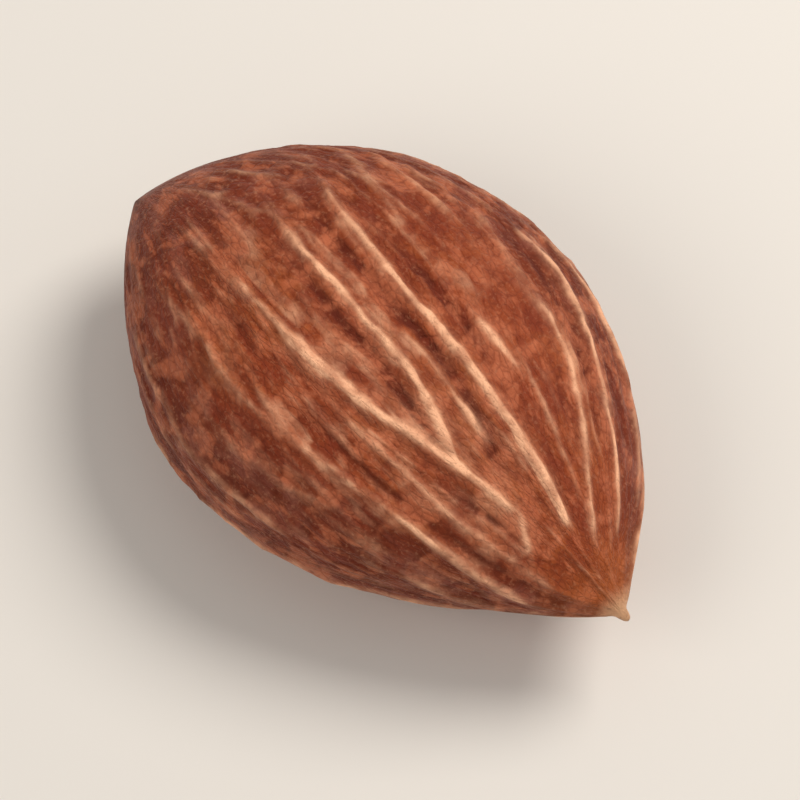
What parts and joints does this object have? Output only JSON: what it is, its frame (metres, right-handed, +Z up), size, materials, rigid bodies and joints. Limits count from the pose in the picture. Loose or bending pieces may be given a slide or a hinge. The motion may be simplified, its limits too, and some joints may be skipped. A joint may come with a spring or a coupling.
{
  "type": "apricot kernel",
  "caption": "Flattened, pointed apricot kernel in a ridged red-brown skin, lying on one broad face.",
  "frame": {"origin": "on the resting plane, under the middle of the kernel's length and width", "axes": "+X along the length towards the pointed tip, +Y across the width towards the evenly rounded margin, +Z up through the thickness"},
  "size_m": [0.018, 0.0118, 0.0068],
  "materials": {
    "skin": "matte red-brown seed skin with paler ridge crests, darker grooves and a fine scurf"
  },
  "bodies": {
    "root": {"kernel": "skin"}
  },
  "joints": []
}
